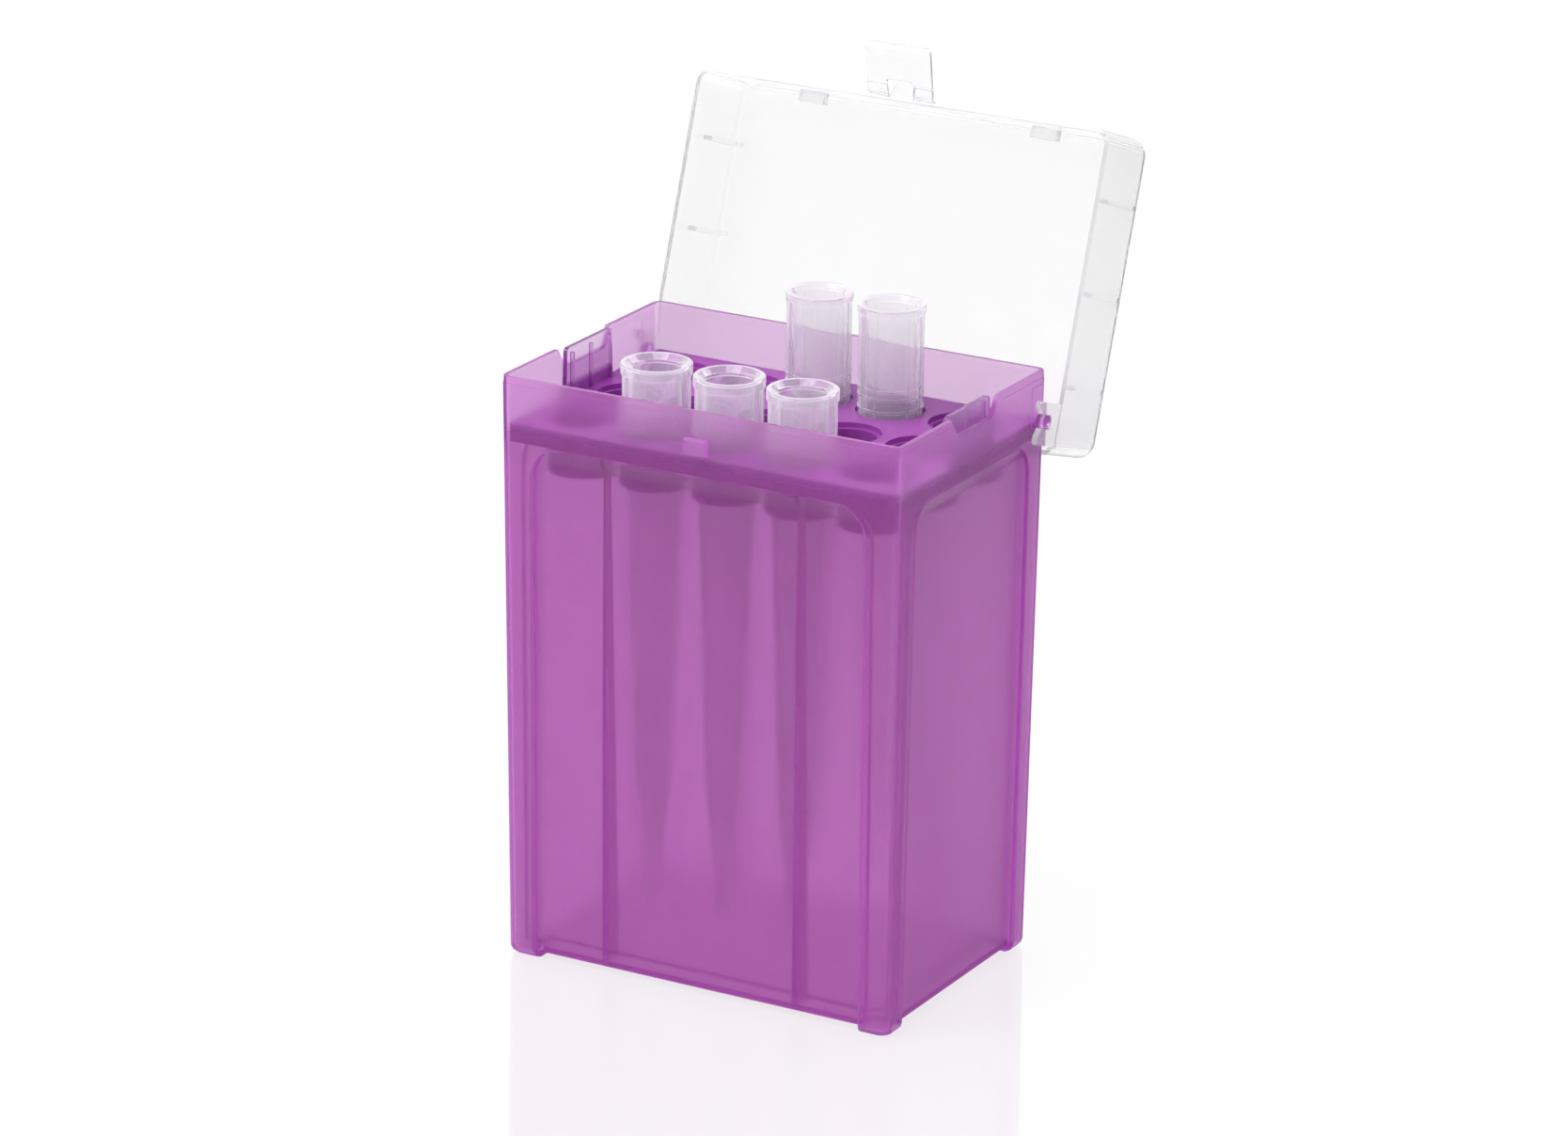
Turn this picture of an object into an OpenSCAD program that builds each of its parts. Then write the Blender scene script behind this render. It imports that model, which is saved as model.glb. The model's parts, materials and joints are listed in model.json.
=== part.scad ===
// Tall box of pipette tips: a drafted box with recessed panels, a drop-in rack, a snap-on lid with
// a latch flap, and five tips. X runs along the box, the latch side faces -Y, Z is up from the feet.
// The sizes start at the tip: the tips set the holes, the holes the rack, and the rack the box.

/* [Tip body] */
// Outside radius of a tip just under its shoulder
tip_body_r = 7.15; // [5.9:0.05:9]
// Outside radius of a tip at its end
tip_end_r = 1.2; // [1:0.05:2]
// Radius of the orifice in a tip's end
orifice_r = 0.6; // [0.3:0.05:0.8]
// Wall of a tip's body
tip_wall = 0.9; // [0.6:0.05:1.3]
// Width of the shoulder that a tip hangs by
shoulder_w = 0.6; // [0.5:0.05:0.9]
// Length of the slim nose of a tip
nose_len = 34; // [20:0.5:50]
// Outside radius at the top of the slim nose
nose_r = 4.5; // [3.6:0.05:5.5]

/* [Long-collared tips] */
// Length below the shoulder
long_drop = 120.1; // [95:0.1:150]
// Height above the shoulder
long_rise = 28.5; // [22:0.1:36]
// Height of the flange at the mouth
long_flange_h = 1.9; // [1:0.1:3]
// Radius that the flange adds to the shoulder's
long_flange_w = 0.7; // [0.4:0.05:1]
// Shallow ribs round the collar
long_ribs = 12; // [6:1:16]

/* [Short-collared tips] */
// Length below the shoulder
short_drop = 121.9; // [95:0.1:150]
// Height above the shoulder
short_rise = 18.5; // [15:0.1:24]
// Height of the smooth band at the mouth
short_band_h = 2.6; // [1:0.1:4]
// Radius that the smooth band adds to the shoulder's
short_band_w = 1.08; // [0.8:0.01:1.5]
// Fine ribs round the collar
short_ribs = 18; // [8:1:24]

/* [Rack] */
// Holes along the box
cols = 5; // [3:1:8]
// Holes across the box
rows = 3; // [2:1:6]
// Free space between neighbouring tips along the box
apart_x = 2.64; // [1.8:0.01:8]
// Free space between neighbouring tips across the box
apart_y = 4.44; // [1.8:0.01:8]
// From the outermost holes to the ends of the rack
edge_x = 4.45; // [3.2:0.05:8]
// From the outermost holes to the sides of the rack
edge_y = 5.15; // [3.2:0.05:8]
// Thickness of the rack's plate
plate_t = 1.6; // [1.2:0.05:2.5]
// Depth of the ledges below the plate's top
ledge_depth = 1.3; // [0.8:0.05:2]
// Thickness of the cup under each ledge
cup_t = 1.6; // [1:0.05:2.5]
// Length of the guide tube under each cup
tube_len = 10.3; // [6:0.1:20]
// Depth of the skirt below the plate's top
skirt_h = 4.5; // [3.5:0.1:8]
// Thickness of the skirt
skirt_t = 1.2; // [0.9:0.05:1.5]
// Width of the end tabs
tab_w = 21.4; // [16:0.1:26]
// Thickness of the end tabs
tab_t = 1.2; // [0.9:0.05:1.6]

/* [Box] */
// Thickness of the box's walls
wall = 1.4; // [1:0.05:1.8]
// Draft of the box's walls in degrees
draft = 0.5; // [0.2:0.05:0.8]
// Radius of the box's upright edges
corner_r = 2.6; // [2.4:0.1:6]
// Free space between the longest tip's end and the floor
end_gap = 12.2; // [4:0.1:30]
// Depth of the tray above the rack's plate
tray_h = 12.2; // [10:0.1:16]
// Height of the feet
foot_h = 1.6; // [1.2:0.1:4]
// Rounding of the feet's lower edges
foot_r = 2; // [1:0.1:2.5]
// Thickness of the floor
floor_t = 1.2; // [0.9:0.05:2]
// Height of the raised middle of the floor
floor_lift = 1; // [0.4:0.1:2]
// Width of the corner posts along the box
post_x = 9.6; // [7:0.1:14]
// Width of the corner posts across the box
post_y = 8.6; // [6:0.05:11]
// Depth of the recessed panels
panel_in = 1.6; // [0.8:0.05:2]
// Height of the sloped shoulder on top of a panel
panel_slope_h = 3.8; // [2:0.1:6]
// Radius of a panel's upper corners
panel_r = 8; // [4:0.1:12]
// Distance of the internal fins from the middle of the box
fin_x = 27; // [20:0.5:40]
// Depth of an internal fin at its top
fin_top_d = 3.3; // [2.5:0.1:4]
// Depth of an internal fin at the floor
fin_floor_d = 6.8; // [4:0.1:8]
// Thickness of an internal fin at its top
fin_top_t = 1.2; // [0.8:0.05:2]
// Thickness of an internal fin at the floor
fin_floor_t = 1.7; // [1:0.05:2.5]
// Width of the cut-outs in the end walls at the rim
cutout_w = 24.4; // [23:0.1:30]
// Depth of the cut-outs in the end walls
cutout_h = 4.9; // [3:0.1:6]

/* [Hinge] */
// Radius of the hinge pins
pin_r = 1.95; // [1.5:0.05:2.5]
// From the box's back face to the pins' axis, at the rim
pin_in_y = 4.25; // [3.6:0.05:6]
// From the lid's rim down to the pins' axis
pin_drop = 5.9; // [5:0.1:8]
// Running clearance of the ears round the pins
pin_gap = 0.05; // [0.02:0.01:0.1]
// Thickness of the lid's ears
ear_t = 1.5; // [1.2:0.1:2]
// How far the lid stands open in degrees
open_angle = 109; // [100:1:125]

/* [Lid] */
// Thickness of the lid's walls
lid_wall = 1.1; // [0.8:0.05:1.5]
// Thickness of the lid's top
lid_top_t = 1.2; // [0.8:0.05:2]
// Draft of the lid's walls in degrees
lid_draft = 1.1; // [0.5:0.1:2]
// How far the lid laps down over the box
lid_lap = 6.4; // [5.5:0.1:9]
// Free space over the tallest tip
lid_over_tip = 2.2; // [1:0.1:8]
// Free space between the lid and the ends of the box
lid_gap_x = 1.65; // [1.5:0.05:3]
// Free space between the lid and the back of the box
lid_gap_back = 2.85; // [2:0.05:4]
// Radius of the lid's upright edges
lid_corner_r = 4.2; // [3:0.1:8]
// Rounding round the lid's top
lid_edge_r = 2; // [1:0.1:3]
// Spacing of the stop ribs in the lid's ends
rib_pitch = 23.25; // [16:0.05:26]
// Thickness of the stop ribs
rib_t = 1.2; // [0.8:0.1:2]
// Distance of the two inner lugs from the middle
lug_x = 33.1; // [20:0.1:40]
// Width of the inner lugs
lug_w = 7.2; // [4:0.1:10]

/* [Latch] */
// Width of the latch flap
latch_w = 18.2; // [14:0.1:24]
// Length of the latch flap
latch_len = 13.9; // [11:0.1:18]
// Thickness of the latch flap
latch_t = 1; // [0.8:0.05:1.2]
// Angle at which the flap stands out from its closed place
latch_rest = 63.3; // [30:0.1:90]
// Width of the catch nub at its root
nub_w = 6.6; // [5:0.1:9]
// How far the catch nub stands out
nub_out = 1.8; // [1.4:0.05:2.2]
// Length of the tongue over the nub
tongue_len = 3.5; // [2:0.1:3.8]

/* [Hidden] */
$fn = 64;
// facets of the rounded outlines inside a hull
hull_fn = 32;
// thickness of the slices that a hull is stretched over
slice = 0.01;
// overlap that fuses two shapes of one moulding
bite = 0.5;

// Named clearances
bore_gap = 0.3;
hole_gap = 0.15;
rack_gap = 0.35;
stop_gap = 0.05;
swing_gap = 0.12;
ear_gap = 1.15;
window_gap = 0.45;

// Tips: everything above the shoulder is measured from its radius
shoulder_r = tip_body_r + shoulder_w;
long_collar_grow = 0.22;
short_collar_r = shoulder_r + 0.5;
long_rib_h = 0.16;
long_rib_up = 0.5;
short_rib_h = 0.25;
long_rib_w = 0.45;
short_rib_w = 0.5;
short_rib_up = 0.3;
ring_up = [2.4, 5.6, 7.7];
ring_h = 0.55;
ring_w = 0.45;
neck_len = 7;
neck_w = 0.13;
edge_soft = 0.2;
edge_draft = 0.1;
long_mouth_r = shoulder_r - 1.35;
long_bevel_w = 0.5;
long_bevel_h = 0.75;
short_mouth_r = shoulder_r - 1.6;
short_bevel_w = 1.55;
short_bevel_h = 1.25;
short_step_z = 0.6;
rib_bite = 0.2;

// Rack
ledge_r = tip_body_r + bore_gap;
hole_r = short_collar_r + short_rib_h + hole_gap;
cup_r = hole_r + 1.05;
tube_r = ledge_r + 1.15;
pitch_x = 2 * (shoulder_r + short_band_w) + apart_x;
pitch_y = 2 * (shoulder_r + short_band_w) + apart_y;
rack_l = (cols - 1) * pitch_x + 2 * (hole_r + edge_x);
rack_d = (rows - 1) * pitch_y + 2 * (hole_r + edge_y);
mid_col = floor((cols - 1) / 2);
tab_over_rim = 0.2;
tab_rib_t = 0.7;
tab_rib_d = 0.9;
tab_rib_y = tab_w / 2 - 1.7;
tab_r = 1.2;
tab_flare = 0.5;

// Heights above the feet
floor_z = foot_h + floor_t + floor_lift;
ledge_z = floor_z + end_gap + max(short_drop, long_drop);
plate_z = ledge_z + ledge_depth;
skirt_z = plate_z - skirt_h;
box_h = plate_z + tray_h;
lid_rim_z = box_h - lid_lap;
pin_z = lid_rim_z - pin_drop;
lid_top_z = ledge_z + max(long_rise, short_rise) + lid_over_tip + lid_top_t;

// Box
rack_line = tan(draft) * (box_h - plate_z);
box_l = 2 * micron(rack_l / 2 + rack_gap + wall + rack_line);
box_d = 2 * micron(rack_d / 2 + rack_gap + wall + rack_line);
rack_corner_r = corner_r - wall - 0.3;
panel_x = box_l / 2 - post_x;
panel_y = box_d / 2 - post_y;
panel_z = skirt_z - 0.2;
// the panels' rounded outline ends this far over the line where their sloped shoulder starts
panel_blend = 0.3;
step_h = 1.6;
step_in = 0.2;
floor_edge = 3.7;
// the feet reach this far past the posts above them
foot_over = 0.5;
lift_r = 3;
lift_slope = 1;
cutout_foot_w = 0.74 * cutout_w;
cutout_r = 2;
dip_w = 11;
dip_foot_w = 8.4;
dip_h = 4.6;
dip_r = 1.5;
dip_in = 0.25;

// Hinge and lid
pin_y = box_d / 2 - pin_in_y;
pin_end_gap = 0.3;
pin_bevel = 0.4;
pad_out = 0.2;
pad_w = 5.4;
pad_under_pin = 3;
pad_under_rim = 3;
lid_x = box_l / 2 + lid_gap_x + lid_wall;
lid_back_y = box_d / 2 + lid_gap_back + lid_wall;
// the lid's front edge just clears the box's rim and its step as it swings past them
rim_swing = norm([box_d / 2 - step_in + pin_y, box_h - pin_z]);
step_swing = norm([box_d / 2 + pin_y, box_h - step_h - pin_z]);
edge_swing = max(rim_swing, step_swing) + swing_gap;
lid_front_y = pin_y - sqrt(edge_swing * edge_swing - pin_drop * pin_drop) - lid_wall;
lid_mid_y = (lid_back_y + lid_front_y) / 2;
ear_x = box_l / 2 + ear_gap;
ear_front = 4.8;
ear_front_h = 5.8;
ear_back = 5.9;
ear_back_h = 4.5;
ear_mouth = 3.6;
ear_throat_h = 3.2;
ear_snap = 0.25;
// the lid's back edge meets the box's back face when the lid is fully open
back_reach = lid_back_y - pin_y;
stop_level = box_h - pin_z + back_reach * sin(open_angle);
stop_run = pin_in_y + stop_gap - back_reach * cos(open_angle) - stop_level * tan(draft);
back_edge_up = stop_run / (sin(open_angle) - cos(open_angle) * tan(draft));
rib_in = 0.9;
lug_d = 2.9;
lug_h = 2.4;
lug_up = 15;

// Latch: the flap turns about the lower front edge of the lid
latch_bead_r = 0.3;
latch_bead_gap = 0.05;
nub_foot = 4.5;
nub_top = 0.35;
nub_slope = 0.45;
nub_face_w = nub_w - 1.4;
nub_face_y = -box_d / 2 - nub_out;
tongue_w = nub_w - 0.35;
tongue_r = 0.6;
window_w = tongue_w + 2 * window_gap;
window_len = nub_foot + 0.15;
latch_root = 0.9;
latch_r = 1.6;
lip_len = 1.4;
lip_edge = 0.3;
lip_out = 0.7;
groove_at = [1.0, 3.3];
groove_r = 0.28;
groove_out = 0.12;

// Frame: Y = 0 is the middle of the whole object with its lid open
lid_far_y = pin_y + lid_edge_r
    + (lid_front_y + lid_edge_r - pin_y) * cos(open_angle)
    + (lid_top_z - lid_edge_r - pin_z) * sin(open_angle);
frame_y = -(nub_face_y + lid_far_y) / 2;

// Colours
violet = [0.66, 0.36, 0.66, 0.6];
deep_violet = [0.55, 0.22, 0.58, 0.75];
clear_white = [0.92, 0.92, 0.94, 0.45];
tip_white = [0.88, 0.86, 0.92, 0.8];

function micron(v) = round(v * 1000) / 1000;

function arc(c, r, a0, a1, n = 8) =
    [for (i = [0:n]) c + r * [cos(a0 + (a1 - a0) * i / n), sin(a0 + (a1 - a0) * i / n)]];

// Place of hole c along the box and r across it
function hole_at(c, r) = [(c - (cols - 1) / 2) * pitch_x, (r - (rows - 1) / 2) * pitch_y];

module placed() {
    translate([0, frame_y, 0]) children();
}

// Turns what is modelled with the lid closed to the open pose
module lid_opened() {
    translate([0, pin_y, pin_z])
        rotate([-open_angle, 0, 0])
            translate([0, -pin_y, -pin_z])
                children();
}

module round_rect(l, d, r) {
    square([l - 2 * r, d], center = true);
    square([l, d - 2 * r], center = true);
    for (x = [-1, 1], y = [-1, 1])
        translate([x * (l / 2 - r), y * (d / 2 - r)])
            circle(r);
}

// One thin slice of a shell at height z
module slab(l, d, r, z) {
    translate([0, 0, z]) linear_extrude(slice) round_rect(l, d, r, $fn = hull_fn);
}

// A notch outline, open at the top (y = 0), with its two lower corners rounded
module notch_outline(w_top, w_foot, h, r, over = 1) {
    lean = atan2(h, (w_top - w_foot) / 2);
    corner = arc([w_foot / 2 - r * tan(lean / 2), r - h], r, -90, lean - 90);
    right = concat(corner, [[w_top / 2, 0], [w_top / 2, over]]);
    left = [for (i = [len(right) - 1:-1:0]) [-right[i][0], right[i][1]]];
    polygon(concat(right, left));
}

// ---- Box ----

// Solid drafted body of the box, taken in on all sides, with its foot at z
module box_solid(inset, z, z_top, edge_r) {
    hull() {
        for (a = [0:30:90]) {
            up = z + edge_r * (1 - cos(a));
            in = inset + edge_r * (1 - sin(a)) + (box_h - up) * tan(draft);
            slab(box_l - 2 * in, box_d - 2 * in, corner_r - inset, up);
        }
        over = inset - (z_top - box_h) * tan(draft);
        slab(box_l - 2 * over, box_d - 2 * over, corner_r - inset, z_top - slice);
    }
}

// Stands children on the drafted outside face at a distance from the middle of the box
module on_face(half) {
    translate([0, -half, box_h]) rotate([draft, 0, 0]) translate([0, 0, -box_h]) children();
}

// What a panel recess takes out of one face; with grow, the wall that follows it inside
module panel(half_w, grow) {
    slope = panel_slope_h / panel_in;
    rise = grow * (sqrt(1 + slope * slope) - slope);
    top = panel_z + rise;
    depth = panel_in + grow;
    r = panel_r + grow;
    side = half_w + grow;
    difference() {
        translate([0, depth, 0])
            rotate([90, 0, 0])
                linear_extrude(depth + 5)
                    polygon(concat([[-side, -5], [side, -5]],
                                   arc([side - r, top + panel_blend - r], r, 0, 90, 12),
                                   arc([r - side, top + panel_blend - r], r, 90, 180, 12)));
        rotate([90, 0, 90])
            translate([0, 0, -half_w - 10])
                linear_extrude(2 * half_w + 20)
                    polygon([[grow - 1, top + slope], [depth + 1, top - slope * (panel_in + 1)],
                             [depth + 1, top + 2 * slope], [grow - 1, top + 2 * slope]]);
    }
}

module panels(grow) {
    for (a = [0, 180]) rotate(a) on_face(box_d / 2) panel(panel_x, grow);
    for (a = [90, 270]) rotate(a) on_face(box_l / 2) panel(panel_y, grow);
}

// The cross-shaped hollow between the four feet, and its raised middle
module underside(grow, up) {
    half = [panel_x - foot_over + grow, panel_y - foot_over + grow];
    for (size = [[2 * half[0], box_d + 10], [box_l + 10, 2 * half[1]]])
        translate([-size[0] / 2, -size[1] / 2, -5])
            cube([size[0], size[1], foot_h + up + 5]);
    wall_x = box_l / 2 - tan(draft) * box_h - panel_in - wall;
    wall_y = box_d / 2 - tan(draft) * box_h - panel_in - wall;
    lift_l = 2 * (wall_x - floor_edge);
    lift_d = 2 * (wall_y - floor_edge);
    hull() {
        slab(lift_l, lift_d, lift_r, foot_h + up - bite);
        slab(lift_l, lift_d, lift_r, foot_h + up);
        slab(lift_l - 2 * lift_slope, lift_d - 2 * lift_slope, lift_r - lift_slope,
             foot_h + up + floor_lift - slice);
    }
}

module cavity() {
    difference() {
        box_solid(wall, floor_t, box_h + 1, 1);
        panels(wall);
        underside(wall, floor_t);
    }
}

// An upright fin inside a long wall, which carries the rack's skirt
module fin(x) {
    top_y = wall - box_d / 2 + tan(draft) * (box_h - skirt_z);
    foot_y = wall - box_d / 2 + tan(draft) * box_h;
    intersection() {
        translate([x - fin_floor_t, 0, 0])
            rotate([90, 0, 90])
                linear_extrude(2 * fin_floor_t)
                    polygon([[top_y - wall / 2, skirt_z], [top_y + fin_top_d, skirt_z],
                             [foot_y + fin_floor_d, foot_h + floor_t / 2],
                             [foot_y + panel_in - wall / 2, foot_h + floor_t / 2],
                             [foot_y + panel_in - wall / 2, panel_z - panel_slope_h],
                             [top_y - wall / 2, panel_z]]);
        translate([x, 0, 0])
            rotate([90, 0, 0])
                linear_extrude(box_d, center = true)
                    polygon([[-fin_top_t / 2, skirt_z], [fin_top_t / 2, skirt_z],
                             [fin_floor_t / 2, 0], [-fin_floor_t / 2, 0]]);
    }
}

// Shallow step that runs round the rim, with a dip in it over the catch nub
module rim_step() {
    difference() {
        translate([0, 0, box_h - step_h])
            linear_extrude(step_h + 1)
                round_rect(box_l + 4, box_d + 4, corner_r + 2);
        translate([0, 0, box_h - step_h - 1])
            linear_extrude(step_h + 3)
                round_rect(box_l - 2 * step_in, box_d - 2 * step_in, corner_r - step_in);
    }
    translate([0, dip_in - box_d / 2, box_h - step_h])
        rotate([90, 0, 0])
            linear_extrude(5)
                notch_outline(dip_w, dip_foot_w, dip_h, dip_r, step_h + 1);
}

module end_cutouts() {
    translate([-box_l, 0, box_h])
        rotate([90, 0, 90])
            linear_extrude(2 * box_l)
                notch_outline(cutout_w, cutout_foot_w, cutout_h, cutout_r);
}

module catch_nub() {
    root_y = wall / 2 - box_d / 2;
    root_h = nub_foot - nub_top;
    hull() {
        translate([-nub_w / 2, root_y - slice, lid_rim_z - nub_foot])
            cube([nub_w, slice, root_h]);
        translate([-nub_w / 2, 0.1 - box_d / 2, lid_rim_z - nub_foot])
            cube([nub_w, slice, root_h]);
        translate([-nub_face_w / 2, nub_face_y, lid_rim_z - nub_foot + nub_slope])
            cube([nub_face_w, slice, root_h - 1.5 * nub_slope]);
    }
}

module hinge_pins() {
    start = box_l / 2 - wall / 2;
    length = lid_x - pin_end_gap - start;
    for (side = [0, 180])
        rotate([0, 0, side])
            translate([start, side == 0 ? pin_y : -pin_y, pin_z])
                rotate([0, 90, 0]) {
                    cylinder(r = pin_r, h = length - pin_bevel);
                    translate([0, 0, length - pin_bevel])
                        cylinder(r1 = pin_r, r2 = pin_r - pin_bevel, h = pin_bevel);
                }
}

// Shallow pads on the ends of the box, out of which the hinge pins stand
module hinge_pads() {
    from_y = box_d / 2 - corner_r - 0.3 - pad_w;
    foot = pin_z - pad_under_pin;
    for (side = [-1, 1])
        rotate(side * 90)
            on_face(box_l / 2)
                translate([side > 0 ? from_y : -from_y - pad_w, -pad_out, foot])
                    cube([pad_w, pad_out + wall / 2, box_h - pad_under_rim - foot]);
}

module box_base() {
    color(violet) placed() {
        difference() {
            box_solid(0, 0, box_h, foot_r);
            panels(0);
            underside(0, 0);
            cavity();
            rim_step();
            end_cutouts();
        }
        for (x = [-1, 1], y = [0, 180]) rotate(y) fin(x * fin_x);
        catch_nub();
        hinge_pads();
        hinge_pins();
    }
}

// ---- Rack ----

module skirt() {
    difference() {
        translate([0, 0, skirt_z])
            linear_extrude(skirt_h)
                round_rect(rack_l, rack_d, rack_corner_r);
        translate([0, 0, skirt_z - 1])
            linear_extrude(skirt_h + 2)
                round_rect(rack_l - 2 * skirt_t, rack_d - 2 * skirt_t, rack_corner_r - skirt_t / 2);
    }
}

// Tab that stands up inside the cut-out of an end wall
module end_tab() {
    h = box_h + tab_over_rim - plate_z;
    foot = tab_w / 2 + tab_flare;
    translate([rack_l / 2 - tab_t, 0, plate_z])
        rotate([90, 0, 90])
            linear_extrude(tab_t)
                polygon(concat([[-foot, -plate_t / 2], [foot, -plate_t / 2]],
                               arc([tab_w / 2 - tab_r, h - tab_r], tab_r, 0, 90),
                               arc([tab_r - tab_w / 2, h - tab_r], tab_r, 90, 180)));
    for (y = [-1, 0, 1])
        translate([rack_l / 2 - tab_t - tab_rib_d, y * tab_rib_y - tab_rib_t / 2, plate_z - bite])
            cube([tab_rib_d + bite, tab_rib_t, h + bite - tab_r]);
}

module tip_rack() {
    color(deep_violet) placed() difference() {
        union() {
            translate([0, 0, plate_z - plate_t])
                linear_extrude(plate_t)
                    round_rect(rack_l, rack_d, rack_corner_r);
            skirt();
            for (side = [0, 180]) rotate(side) end_tab();
            for (c = [0:cols - 1], r = [0:rows - 1])
                translate(hole_at(c, r)) {
                    translate([0, 0, ledge_z - cup_t])
                        cylinder(r = cup_r, h = cup_t + ledge_depth);
                    translate([0, 0, ledge_z - cup_t - tube_len])
                        cylinder(r = tube_r, h = tube_len + cup_t);
                }
        }
        for (c = [0:cols - 1], r = [0:rows - 1])
            translate(hole_at(c, r)) {
                translate([0, 0, ledge_z])
                    cylinder(r = hole_r, h = ledge_depth + 1);
                translate([0, 0, ledge_z - cup_t - tube_len - 1])
                    cylinder(r = ledge_r, h = tube_len + cup_t + 2);
            }
    }
}

// ---- Lid, modelled closed ----

// Solid drafted body of the lid, taken in on all sides, from height z up to z_top
module lid_solid(inset, z, z_top, edge_r) {
    l = 2 * (lid_x - inset);
    d = lid_back_y - lid_front_y - 2 * inset;
    translate([0, lid_mid_y, 0])
        hull() {
            slab(l, d, lid_corner_r - inset, z);
            for (a = [0:30:90]) {
                up = z_top - edge_r * (1 - sin(a));
                in = edge_r * (1 - cos(a)) + (up - lid_rim_z) * tan(lid_draft);
                slab(l - 2 * in, d - 2 * in, lid_corner_r - inset, up - slice);
            }
        }
}

// The open-bottomed C that snaps over a hinge pin, and the ear it is cut in
module ear_outline() {
    seat = pin_r + pin_gap;
    throat = seat - ear_snap;
    top = pin_drop + bite;
    bevel = 0.5;
    difference() {
        polygon([[-ear_front, top], [-ear_front, 2 * bevel - ear_front_h], [bevel - ear_front, -ear_front_h],
                 [-ear_mouth, -ear_front_h], [0, -seat], [ear_mouth, -ear_back_h],
                 [ear_back - bevel, -ear_back_h], [ear_back, bevel - ear_back_h], [ear_back, top]]);
        circle(seat);
        polygon([[-throat, 0], [-throat, -ear_throat_h], [-ear_mouth, -ear_front_h - 1],
                 [ear_mouth, -ear_front_h - 1], [throat, -ear_throat_h], [throat, 0]]);
    }
}

module ears() {
    for (side = [-1, 1])
        translate([side * (ear_x + ear_t / 2), pin_y, pin_z])
            rotate([90, 0, 90])
                linear_extrude(ear_t, center = true)
                    ear_outline();
}

// Ribs that stand on the box's rim when the lid is shut
module stop_ribs() {
    z = box_h + stop_gap;
    in_x = box_l / 2 - rib_in;
    out_x = lid_x - lid_wall;
    for (side = [-1, 1], k = [-1, 0, 1])
        translate([side * (in_x + out_x) / 2, lid_mid_y + k * rib_pitch, (z + lid_top_z - bite) / 2])
            cube([out_x - in_x, rib_t, lid_top_z - bite - z], center = true);
}

module lugs() {
    front = lid_front_y + lid_wall + lug_up * tan(lid_draft);
    for (side = [-1, 1])
        translate([side * lug_x - lug_w / 2, front - bite, lid_rim_z + lug_up])
            cube([lug_w, lug_d + bite, lug_h]);
}

module tongue() {
    reach = tongue_len + bite;
    translate([0, lid_front_y + bite, lid_rim_z])
        rotate([180, 0, 0])
            translate([0, 0, -latch_t])
                linear_extrude(latch_t) {
                    translate([-tongue_w / 2, 0]) square([tongue_w, reach - tongue_r]);
                    translate([tongue_r - tongue_w / 2, 0]) square([tongue_w - 2 * tongue_r, reach]);
                    for (x = [-1, 1])
                        translate([x * (tongue_w / 2 - tongue_r), reach - tongue_r])
                            circle(tongue_r);
                }
}

module lid() {
    color(clear_white) placed() lid_opened() {
        difference() {
            lid_solid(0, lid_rim_z, lid_top_z, lid_edge_r);
            lid_solid(lid_wall, lid_rim_z - 1, lid_top_z - lid_top_t, lid_edge_r - lid_wall / 2);
            translate([-box_l / 2 - ear_gap / 2, pin_y, lid_rim_z - 1])
                cube([box_l + ear_gap, 2 * back_reach, 1 + pin_z + back_edge_up - lid_rim_z]);
            translate([0, lid_front_y, lid_rim_z])
                rotate([0, 90, 0])
                    cylinder(r = latch_bead_r + latch_bead_gap, h = latch_w + 1, center = true);
        }
        ears();
        stop_ribs();
        lugs();
        tongue();
    }
}

// ---- Latch, modelled hanging from the shut lid: origin on its hinge line, flap towards -Z ----

module latch_profile() {
    thin = latch_bead_gap;
    difference() {
        polygon([[-thin, -thin], [4 * thin, -2 * thin], [latch_t, -latch_root],
                 [latch_t, lip_len - latch_len], [latch_t - lip_out, -latch_len],
                 [-lip_out, -latch_len], [-lip_out, lip_edge - latch_len],
                 [0, lip_len - latch_len], [0, -3 * thin]]);
        for (g = groove_at)
            translate([-groove_out, -g])
                circle(groove_r);
    }
}

module latch_plan() {
    difference() {
        union() {
            translate([-latch_w / 2, latch_r - latch_len]) square([latch_w, latch_len]);
            translate([latch_r - latch_w / 2, -latch_len]) square([latch_w - 2 * latch_r, 2 * latch_r]);
            for (x = [-1, 1])
                translate([x * (latch_w / 2 - latch_r), latch_r - latch_len])
                    circle(latch_r);
        }
        translate([-window_w / 2, -window_len]) square([window_w, window_len + 2]);
    }
}

// The thin webs of the living hinge, one on each side of the window
module latch_beads() {
    bead_len = (latch_w - window_w) / 2;
    for (side = [-1, 1])
        translate([side * (latch_w - bead_len) / 2, 0, 0])
            rotate([0, 90, 0])
                cylinder(r = latch_bead_r, h = bead_len, center = true);
}

module latch() {
    color(clear_white) placed() lid_opened()
        translate([0, lid_front_y, lid_rim_z])
            rotate([-latch_rest, 0, 0]) {
                intersection() {
                    rotate([90, 0, 90])
                        linear_extrude(latch_w + 2, center = true)
                            latch_profile();
                    rotate([90, 0, 0])
                        linear_extrude(10, center = true)
                            latch_plan();
                }
                latch_beads();
            }
}

// ---- Tips: origin on the shoulder, mouth up ----

// Outline of one side of a tip, from its orifice up the outside and down the bore
function body_points(drop) =
    [[orifice_r, -drop], [tip_end_r, -drop], [nose_r, nose_len - drop],
     [tip_body_r - neck_w, -neck_len], [tip_body_r, 0], [shoulder_r, 0]];

function bore_points(drop, mouth_r) =
    [[mouth_r - 0.02, 0], [tip_body_r - neck_w - tip_wall, -neck_len],
     [nose_r - tip_wall, nose_len - drop]];

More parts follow.
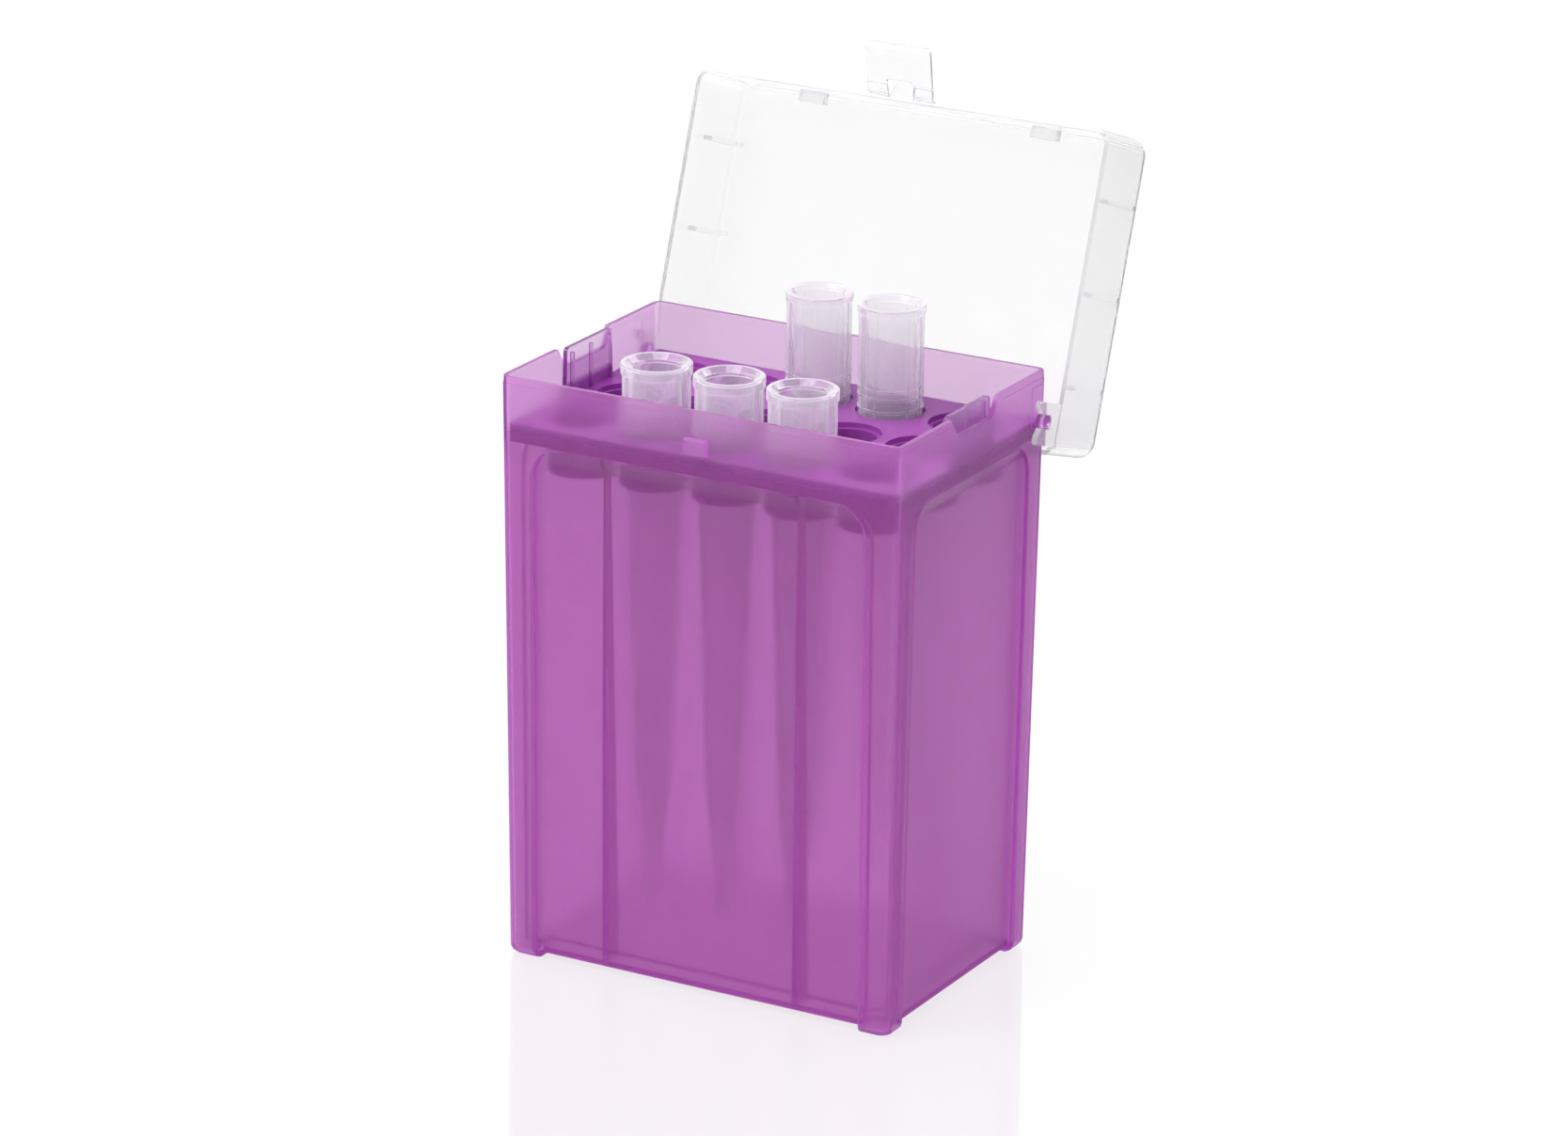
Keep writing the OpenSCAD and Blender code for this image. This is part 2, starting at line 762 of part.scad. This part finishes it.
module collar_ribs(count, r, out, w, z, h) {
    for (i = [0:count - 1])
        rotate(i * 360 / count)
            translate([r - 0.5, -w / 2, z])
                cube([0.5 + out, w, h]);
}

module long_tip() {
    top_r = shoulder_r + long_collar_grow;
    flange_r = shoulder_r + long_flange_w;
    flange_z = long_rise - long_flange_h;
    rotate_extrude()
        polygon(concat(body_points(long_drop),
                       [[top_r, flange_z], [flange_r - edge_draft, flange_z],
                        [flange_r, flange_z + edge_soft], [flange_r, long_rise - edge_soft],
                        [flange_r - edge_soft, long_rise], [long_mouth_r + long_bevel_w, long_rise],
                        [long_mouth_r, long_rise - long_bevel_h]],
                       bore_points(long_drop, long_mouth_r)));
    for (z = ring_up)
        translate([0, 0, z])
            difference() {
                cylinder(r = shoulder_r + ring_w, h = ring_h);
                translate([0, 0, -1]) cylinder(r = shoulder_r - 0.5, h = ring_h + 2);
            }
    collar_ribs(long_ribs, shoulder_r, long_collar_grow + long_rib_h, long_rib_w, long_rib_up,
                flange_z - long_rib_up + rib_bite / 2);
}

module short_tip() {
    band_z = short_rise - short_band_h;
    band_r = shoulder_r + short_band_w;
    rotate_extrude()
        polygon(concat(body_points(short_drop),
                       [[short_collar_r, short_step_z], [short_collar_r, band_z],
                        [band_r - edge_draft, band_z], [band_r, band_z + edge_soft],
                        [band_r, short_rise - edge_soft], [band_r - edge_soft, short_rise],
                        [short_mouth_r + short_bevel_w, short_rise],
                        [short_mouth_r, short_rise - short_bevel_h]],
                       bore_points(short_drop, short_mouth_r)));
    rib_z = ledge_depth + short_rib_up;
    collar_ribs(short_ribs, short_collar_r, short_rib_h, short_rib_w, rib_z,
                band_z - rib_z + rib_bite / 2);
}

module at_hole(c, r) {
    placed() translate(hole_at(c, r)) translate([0, 0, ledge_z]) children();
}

module front_tip_left() {
    color(tip_white) at_hole(mid_col - 1, 0) short_tip();
}

module front_tip_middle() {
    color(tip_white) at_hole(mid_col, 0) short_tip();
}

module front_tip_right() {
    color(tip_white) at_hole(mid_col + 1, 0) short_tip();
}

module back_tip_middle() {
    color(tip_white) at_hole(mid_col, rows - 1) long_tip();
}

module back_tip_right() {
    color(tip_white) at_hole(mid_col + 1, rows - 1) long_tip();
}

box_base();
tip_rack();
lid();
latch();
front_tip_left();
front_tip_middle();
front_tip_right();
back_tip_middle();
back_tip_right();
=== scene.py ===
"""Looks for the tall box of pipette tips: milky polypropylene, soft studio light, a white floor."""

import json
import math

import bpy
from mathutils import Matrix, Vector


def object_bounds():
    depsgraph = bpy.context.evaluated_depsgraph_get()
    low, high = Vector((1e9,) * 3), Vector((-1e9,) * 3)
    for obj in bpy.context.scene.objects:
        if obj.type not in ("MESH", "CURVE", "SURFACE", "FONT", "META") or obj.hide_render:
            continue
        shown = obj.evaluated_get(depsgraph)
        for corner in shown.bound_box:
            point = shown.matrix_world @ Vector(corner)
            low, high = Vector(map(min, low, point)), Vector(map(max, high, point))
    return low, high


MM = 0.001
WHITE = (1, 1, 1)

# The camera, by its angles round the object, its distance from the middle of the object's box,
# and how far it stands to the right of that middle and above it.
CAMERA_AZIMUTH = math.radians(29.21)
CAMERA_ELEVATION = math.radians(18.99)
CAMERA_ROLL = math.radians(0.76)
CAMERA_DISTANCE = 1633.09 * MM
CAMERA_RIGHT = -8.49 * MM
CAMERA_UP = -15.12 * MM
SENSOR_WIDTH = 36.0
LENS = 150.83
NEAREST, FARTHEST = 0.05, 50

# What the lens sees of the floor and the world
STUDIO_WHITE = 1.0

# The world's fill on matt surfaces, which gets dimmer towards the box's right. A direction's part
# along the box, -1 to 1, says where that change starts and ends.
FILL_STRENGTH = 0.95
FILL_RIGHT = 0.3
FILL_CHANGE = (0.0, 0.6)

# The room that gloss mirrors, which is dimmer on the camera's side. The change is as above, by a
# direction's part towards the camera.
ROOM_BACK = 1.0
ROOM_FRONT = 0.6
ROOM_CHANGE = (-0.3, 0.5)

# Each lamp: its place from the middle of the object, its width and height, and its power
LAMPS = {
    "key": ((-0.9, -1.1, 1.3), (0.9, 0.9), 18),
    "side": ((1.4, -0.5, 0.7), (0.6, 1.0), 1),
    "top": ((-0.2, -0.1, 1.5), (0.8, 0.8), 15),
    "back": ((0.3, 1.4, 1.2), (1.2, 0.8), 16),
}

# The floor is a white sheet with a faint mirror and a faint shadow. Reflections see it dimmer,
# except for the quarter in front of the box and to its right, past the given distances.
FLOOR_SIZE = 6.0
FLOOR_DROP = 0.05 * MM
FLOOR_PAINT = (0.816, 0.816, 0.816)
FLOOR_PAINT_DARK = (0.8156, 0.8156, 0.8156)
PATCH_SCALE = 30
FLOOR_MIRROR = 0.16
MIRROR_ROUGHNESS = 0.06
FLOOR_SHADOW = 0.1
FLOOR_GLOSS = 0.2
FLOOR_GLOSS_CHANGE = (0.05, 0.12)

# Light that a millimetre of each plastic lets through, in red, green and blue
VIOLET_PASS = (0.96, 0.855, 0.985)
DEEP_VIOLET_PASS = (0.975, 0.87, 0.985)
CLEAR_PASS = (0.985, 0.985, 0.987)
TIP_PASS = (0.9995, 0.998, 0.9998)

# Where the look of a piece changes: at the foot of the box's collar and at the foot of the rack's
# end tabs, above which each is drawn paler and clearer as painted light from above, and at the
# plane of the box's front that only the catch nub stands out from, where the nub is drawn paler as
# a painted highlight
COLLAR_FOOT = 137.9 * MM
TABS_FOOT = 142 * MM
NUB_PLANE = -61.05 * MM
HEIGHT_BLEND = 1.0 * MM
NUB_BLEND = 0.15 * MM
# Painted highlight: the catch nub's paler colour and milk, drawn in place of the highlights on it
NUB_HIGHLIGHT_COLOUR = (0.85, 0.42, 0.80)
NUB_HIGHLIGHT_MILK = 0.45

# The plastic's clouds and flow lines: how many there are to a metre, how the flow lines are drawn
# out upwards, and how far the haze rises and falls with the clouds
CLOUD_SCALE = 45
FLOW_SCALE = 60
FLOW_STRETCH = (1, 1, 0.12)
HAZE_SPREAD = 0.03


# ---- Camera ----

def make_camera(low, high):
    middle = (low + high) / 2
    back = Vector((
        math.sin(CAMERA_AZIMUTH) * math.cos(CAMERA_ELEVATION),
        -math.cos(CAMERA_AZIMUTH) * math.cos(CAMERA_ELEVATION),
        math.sin(CAMERA_ELEVATION),
    ))
    level_right = Vector((0, 0, 1)).cross(back).normalized()
    level_up = back.cross(level_right)
    turn, lean = math.cos(CAMERA_ROLL), math.sin(CAMERA_ROLL)
    right = turn * level_right + lean * level_up
    up = turn * level_up - lean * level_right
    data = bpy.data.cameras.new("camera")
    data.sensor_width = SENSOR_WIDTH
    data.lens = LENS
    data.clip_start = NEAREST
    data.clip_end = FARTHEST
    camera = bpy.data.objects.new("camera", data)
    bpy.context.scene.collection.objects.link(camera)
    place = middle + back * CAMERA_DISTANCE + right * CAMERA_RIGHT + up * CAMERA_UP
    axes = Matrix((right, up, back)).transposed().to_4x4()
    camera.matrix_world = Matrix.Translation(place) @ axes
    bpy.context.scene.camera = camera


# ---- Node helpers ----

def new_material(name):
    material = bpy.data.materials.new(name)
    material.use_nodes = True
    material.node_tree.nodes.clear()
    return material


def put(tree, socket, value):
    """Links a socket to this input, or sets the input to a value."""
    if isinstance(value, bpy.types.NodeSocket):
        tree.links.new(value, socket)
    else:
        socket.default_value = value


def add(tree, kind, **inputs):
    """A new node of this kind. Inputs are named with _ for a space and take a value or a socket."""
    node = tree.nodes.new(kind)
    for name, value in inputs.items():
        put(tree, node.inputs[name.replace("_", " ")], value)
    return node


def calculate(tree, operation, first, second):
    node = tree.nodes.new("ShaderNodeMath")
    node.operation = operation
    put(tree, node.inputs[0], first)
    put(tree, node.inputs[1], second)
    return node.outputs[0]


def remap(tree, source, low, high, start=0.3, end=0.7):
    """low where the source is at start or under it, and high where it is at end or past it."""
    return add(tree, "ShaderNodeMapRange", Value=source, From_Min=start, From_Max=end,
               To_Min=low, To_Max=high).outputs[0]


def blend(tree, share, first, second):
    """first where share is 0 and second where it is 1; each is a number or a socket."""
    return remap(tree, share, first, second, 0, 1)


def mix_colour(tree, share, first, second):
    """The same for colours; each is red, green and blue, or a socket."""
    node = tree.nodes.new("ShaderNodeMix")
    node.data_type = "RGBA"
    tree.links.new(share, node.inputs["Factor"])
    for name, colour in (("A", first), ("B", second)):
        whole = colour if isinstance(colour, bpy.types.NodeSocket) else (*colour, 1)
        put(tree, node.inputs[name], whole)
    return node.outputs["Result"]


def mix_shader(tree, share, first, second):
    node = add(tree, "ShaderNodeMixShader", Fac=share)
    tree.links.new(first, node.inputs[1])
    tree.links.new(second, node.inputs[2])
    return node.outputs[0]


def position(tree, axis):
    """The place along one axis, in the object's own metres."""
    where = tree.nodes.new("ShaderNodeTexCoord").outputs["Object"]
    return add(tree, "ShaderNodeSeparateXYZ", Vector=where).outputs[axis]


def above(tree, height):
    """1 above this height and 0 below it, with a short blend between."""
    return remap(tree, position(tree, "Z"), 0, 1, height - HEIGHT_BLEND, height + HEIGHT_BLEND)


def in_front(tree, plane):
    """1 on what stands out past this plane on the latch side, and 0 behind it."""
    return remap(tree, position(tree, "Y"), 1, 0, plane - NUB_BLEND, plane)


def noise(tree, scale, detail=2.0, roughness=0.5, stretch=(1, 1, 1)):
    """Noise in the object's own coordinates, with its features 1 / scale metres apart."""
    where = tree.nodes.new("ShaderNodeTexCoord").outputs["Object"]
    mapping = add(tree, "ShaderNodeMapping", Vector=where, Scale=stretch)
    return add(tree, "ShaderNodeTexNoise", Vector=mapping.outputs[0],
               Scale=scale, Detail=detail, Roughness=roughness).outputs["Fac"]


def absorb(tree, passed):
    """An absorption that lets this share of each colour through each millimetre."""
    loss = [-math.log(share) / MM for share in passed]
    # A little over the greatest loss, so that no part of the colour is 0
    density = max(loss) * 1.05
    colour = (*[1 - part / density for part in loss], 1)
    return add(tree, "ShaderNodeVolumeAbsorption", Color=colour, Density=density).outputs[0]


# ---- Plastics ----

def moulded_plastic(name, passed, body, body_dark, milk, glow, rough, wave, shine=0.4,
                    haze=None, ior=1.49, upper=None, rim=None, nub=None):
    """Milky moulded polypropylene, which is partly clear and partly cloudy.

    passed: the light that a millimetre of the clear part lets through
    body, body_dark: the cloudy part's colour, and the colour of the darker patches in it
    milk, glow: the share of cloudy plastic, and how much of its light goes through it
    rough, wave: the surface's least and greatest roughness, and the depth of its flow lines
    haze: the clear part's roughness, where that differs from the surface's
    upper: a height, the clear part's tint below it, and the milk and the haze above it; the paler,
    clearer part above it is painted light
    rim: the slants at which a grazed edge starts to turn milkier and ends, and its milk there
    nub: the plane that the catch nub stands out from; the nub is drawn paler and milkier as a
    painted highlight
    """
    material = new_material(name)
    tree = material.node_tree
    clouds = noise(tree, CLOUD_SCALE, 3, 0.55)
    flow = noise(tree, FLOW_SCALE, stretch=FLOW_STRETCH)
    colour = mix_colour(tree, remap(tree, clouds, 0, 1), body_dark, body)
    normal = add(tree, "ShaderNodeBump", Height=flow, Distance=wave).outputs[0]
    roughness = remap(tree, clouds, *rough)
    tint, cloud, blur = (*WHITE, 1), milk, roughness
    if haze:
        blur = remap(tree, clouds, haze - HAZE_SPREAD, haze + HAZE_SPREAD)
    # Painted light: above the height the part is drawn paler and clearer, for the light that falls
    # on it from above
    if upper:
        height, lower_tint, upper_milk, upper_haze = upper
        top = above(tree, height)
        tint = mix_colour(tree, top, lower_tint, WHITE)
        cloud = blend(tree, top, cloud, upper_milk)
        blur = blend(tree, top, blur, upper_haze)
    # Painted highlight: the catch nub is drawn paler and milkier than the rest of the box
    if nub:
        highlit_nub = in_front(tree, nub)
        colour = mix_colour(tree, highlit_nub, colour, NUB_HIGHLIGHT_COLOUR)
        cloud = blend(tree, highlit_nub, cloud, NUB_HIGHLIGHT_MILK)
    if rim:
        start, end, rim_milk = rim
        slant = add(tree, "ShaderNodeLayerWeight", Blend=0.5).outputs["Facing"]
        cloud = blend(tree, remap(tree, slant, 0, 1, start, end), cloud, rim_milk)
    clear = add(tree, "ShaderNodeBsdfPrincipled", Base_Color=tint, Roughness=blur, Normal=normal,
                IOR=ior, Specular_IOR_Level=shine, Transmission_Weight=1.0)
    front = add(tree, "ShaderNodeBsdfPrincipled", Base_Color=colour, Roughness=roughness,
                Normal=normal, IOR=ior, Specular_IOR_Level=shine)
    through = add(tree, "ShaderNodeBsdfTranslucent", Color=colour, Normal=normal)
    cloudy = mix_shader(tree, glow, front.outputs[0], through.outputs[0])
    whole = mix_shader(tree, cloud, clear.outputs[0], cloudy)
    add(tree, "ShaderNodeOutputMaterial", Surface=whole, Volume=absorb(tree, passed))
    return material


def make_plastics():
    """The four plastics, by the names of the record's material slots."""
    return {
        "violet_pp": moulded_plastic(
            "violet_pp", VIOLET_PASS, body=(0.78, 0.205, 0.67), body_dark=(0.74, 0.195, 0.63),
            milk=0.28, glow=0.65, rough=(0.12, 0.17), wave=0.005 * MM, shine=0.35, haze=0.23,
            # The collar above COLLAR_FOOT is drawn paler and clearer, as painted light from the
            # open top
            upper=(COLLAR_FOOT, (0.89, 0.78, 0.91), 0.16, 0.31), rim=(0.75, 0.98, 0.5),
            nub=NUB_PLANE),
        "deep_violet_pp": moulded_plastic(
            "deep_violet_pp", DEEP_VIOLET_PASS, body=(0.50, 0.115, 0.56),
            body_dark=(0.46, 0.105, 0.52), milk=0.75, glow=0.4, rough=(0.20, 0.26),
            # The end tabs above TABS_FOOT are drawn paler and clearer, as painted light where they
            # rise above the plate
            wave=0.02 * MM, upper=(TABS_FOOT, (0.98, 0.79, 0.995), 0.12, 0.22)),
        "clear_pp": moulded_plastic(
            "clear_pp", CLEAR_PASS, body=(0.99, 0.99, 0.99), body_dark=(0.97, 0.97, 0.975),
            milk=0.12, glow=0.5, rough=(0.08, 0.12), wave=0.001 * MM, rim=(0.6, 0.95, 0.85)),
        "tip_pp": moulded_plastic(
            "tip_pp", TIP_PASS, body=(0.98, 0.94, 1.0), body_dark=(0.96, 0.92, 0.99),
            milk=0.22, glow=0.5, rough=(0.06, 0.09), wave=0.001 * MM, ior=1.42,
            rim=(0.55, 0.9, 0.95)),
    }


# ---- Studio ----

def floor_material():
    material = new_material("studio_floor")
    tree = material.node_tree
    path = tree.nodes.new("ShaderNodeLightPath").outputs
    glossy, transmitted = path["Is Glossy Ray"], path["Is Transmission Ray"]
    seen = calculate(tree, "MAXIMUM", path["Is Camera Ray"], glossy)
    seen = calculate(tree, "MAXIMUM", seen, transmitted)
    patches = remap(tree, noise(tree, PATCH_SCALE), 0, 1)
    paint = add(tree, "ShaderNodeBsdfDiffuse",
                Color=mix_colour(tree, patches, FLOOR_PAINT_DARK, FLOOR_PAINT))
    ahead = calculate(tree, "MULTIPLY", position(tree, "Y"), -1)
    quarter = calculate(tree, "MINIMUM", position(tree, "X"), ahead)
    dim = remap(tree, quarter, FLOOR_GLOSS, STUDIO_WHITE, *FLOOR_GLOSS_CHANGE)
    # Rays through rough plastic count as glossy too, and those see the floor white
    mirrored = calculate(tree, "SUBTRACT", glossy, transmitted)
    white = add(tree, "ShaderNodeEmission", Strength=blend(tree, mirrored, STUDIO_WHITE, dim))
    mirror = add(tree, "ShaderNodeBsdfGlossy", Color=(*WHITE, 1), Roughness=MIRROR_ROUGHNESS)
    lit = mix_shader(tree, FLOOR_SHADOW, white.outputs[0], paint.outputs[0])
    glazed = mix_shader(tree, FLOOR_MIRROR, lit, mirror.outputs[0])
    both = mix_shader(tree, seen, paint.outputs[0], glazed)
    add(tree, "ShaderNodeOutputMaterial", Surface=both)
    return material


def make_floor():
    half = FLOOR_SIZE / 2
    mesh = bpy.data.meshes.new("studio_floor")
    corners = [(-half, -half, 0), (half, -half, 0), (half, half, 0), (-half, half, 0)]
    mesh.from_pydata(corners, [], [(0, 1, 2, 3)])
    floor = bpy.data.objects.new("studio_floor", mesh)
    floor.location.z = -FLOOR_DROP
    mesh.materials.append(floor_material())
    bpy.context.scene.collection.objects.link(floor)


def towards(tree, direction):
    """A world direction's part in this direction, from -1 to 1."""
    node = tree.nodes.new("ShaderNodeVectorMath")
    node.operation = "DOT_PRODUCT"
    tree.links.new(tree.nodes.new("ShaderNodeTexCoord").outputs["Generated"], node.inputs[0])
    node.inputs[1].default_value = direction
    return node.outputs["Value"]


def make_world():
    world = bpy.data.worlds.new("studio")
    bpy.context.scene.world = world
    world.use_nodes = True
    tree = world.node_tree
    tree.nodes.clear()
    path = tree.nodes.new("ShaderNodeLightPath").outputs
    seen = calculate(tree, "MAXIMUM", path["Is Camera Ray"], path["Is Transmission Ray"])
    front = towards(tree, (math.sin(CAMERA_AZIMUTH), -math.cos(CAMERA_AZIMUTH), 0))
    room = remap(tree, front, ROOM_BACK, ROOM_FRONT, *ROOM_CHANGE)
    fill = remap(tree, towards(tree, (1, 0, 0)), FILL_STRENGTH, FILL_RIGHT, *FILL_CHANGE)
    unseen = blend(tree, path["Is Glossy Ray"], fill, room)
    strength = blend(tree, seen, unseen, STUDIO_WHITE)
    background = add(tree, "ShaderNodeBackground", Color=(*WHITE, 1), Strength=strength)
    add(tree, "ShaderNodeOutputWorld", Surface=background.outputs[0])


def make_lamps(middle):
    """Rectangular lamps round the object, each aimed at its middle."""
    for name, (offset, size, power) in LAMPS.items():
        data = bpy.data.lights.new(name, "AREA")
        data.shape = "RECTANGLE"
        data.size, data.size_y = size
        data.energy = power
        lamp = bpy.data.objects.new(name, data)
        lamp.location = middle + Vector(offset)
        lamp.rotation_mode = "QUATERNION"
        lamp.rotation_quaternion = (middle - lamp.location).to_track_quat("-Z", "Y")
        bpy.context.scene.collection.objects.link(lamp)


def set_bounces():
    """Enough bounces for light to pass through all the walls of the box, the rack and the tips."""
    cycles = bpy.context.scene.cycles
    cycles.max_bounces = 24
    cycles.transmission_bounces = 24
    cycles.glossy_bounces = 16
    cycles.diffuse_bounces = 8


# ---- The object ----

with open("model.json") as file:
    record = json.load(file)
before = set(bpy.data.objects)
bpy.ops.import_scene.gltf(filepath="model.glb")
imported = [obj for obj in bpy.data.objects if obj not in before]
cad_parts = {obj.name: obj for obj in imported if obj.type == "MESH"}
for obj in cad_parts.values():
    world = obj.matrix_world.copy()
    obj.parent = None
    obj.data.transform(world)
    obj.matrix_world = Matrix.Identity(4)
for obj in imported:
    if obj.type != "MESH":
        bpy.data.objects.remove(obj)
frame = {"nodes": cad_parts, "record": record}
cad_low, cad_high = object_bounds()
make_camera(cad_low, cad_high)
bpy.context.scene.view_settings.view_transform = "Standard"
make_world()
make_floor()
make_lamps((cad_low + cad_high) / 2)
set_bounces()

plastics = make_plastics()
slots = {row["node"]: row["material_slot"] for row in frame["record"]["subparts"]}
for node, piece in frame["nodes"].items():
    piece.data.materials.clear()
    piece.data.materials.append(plastics[slots[node]])
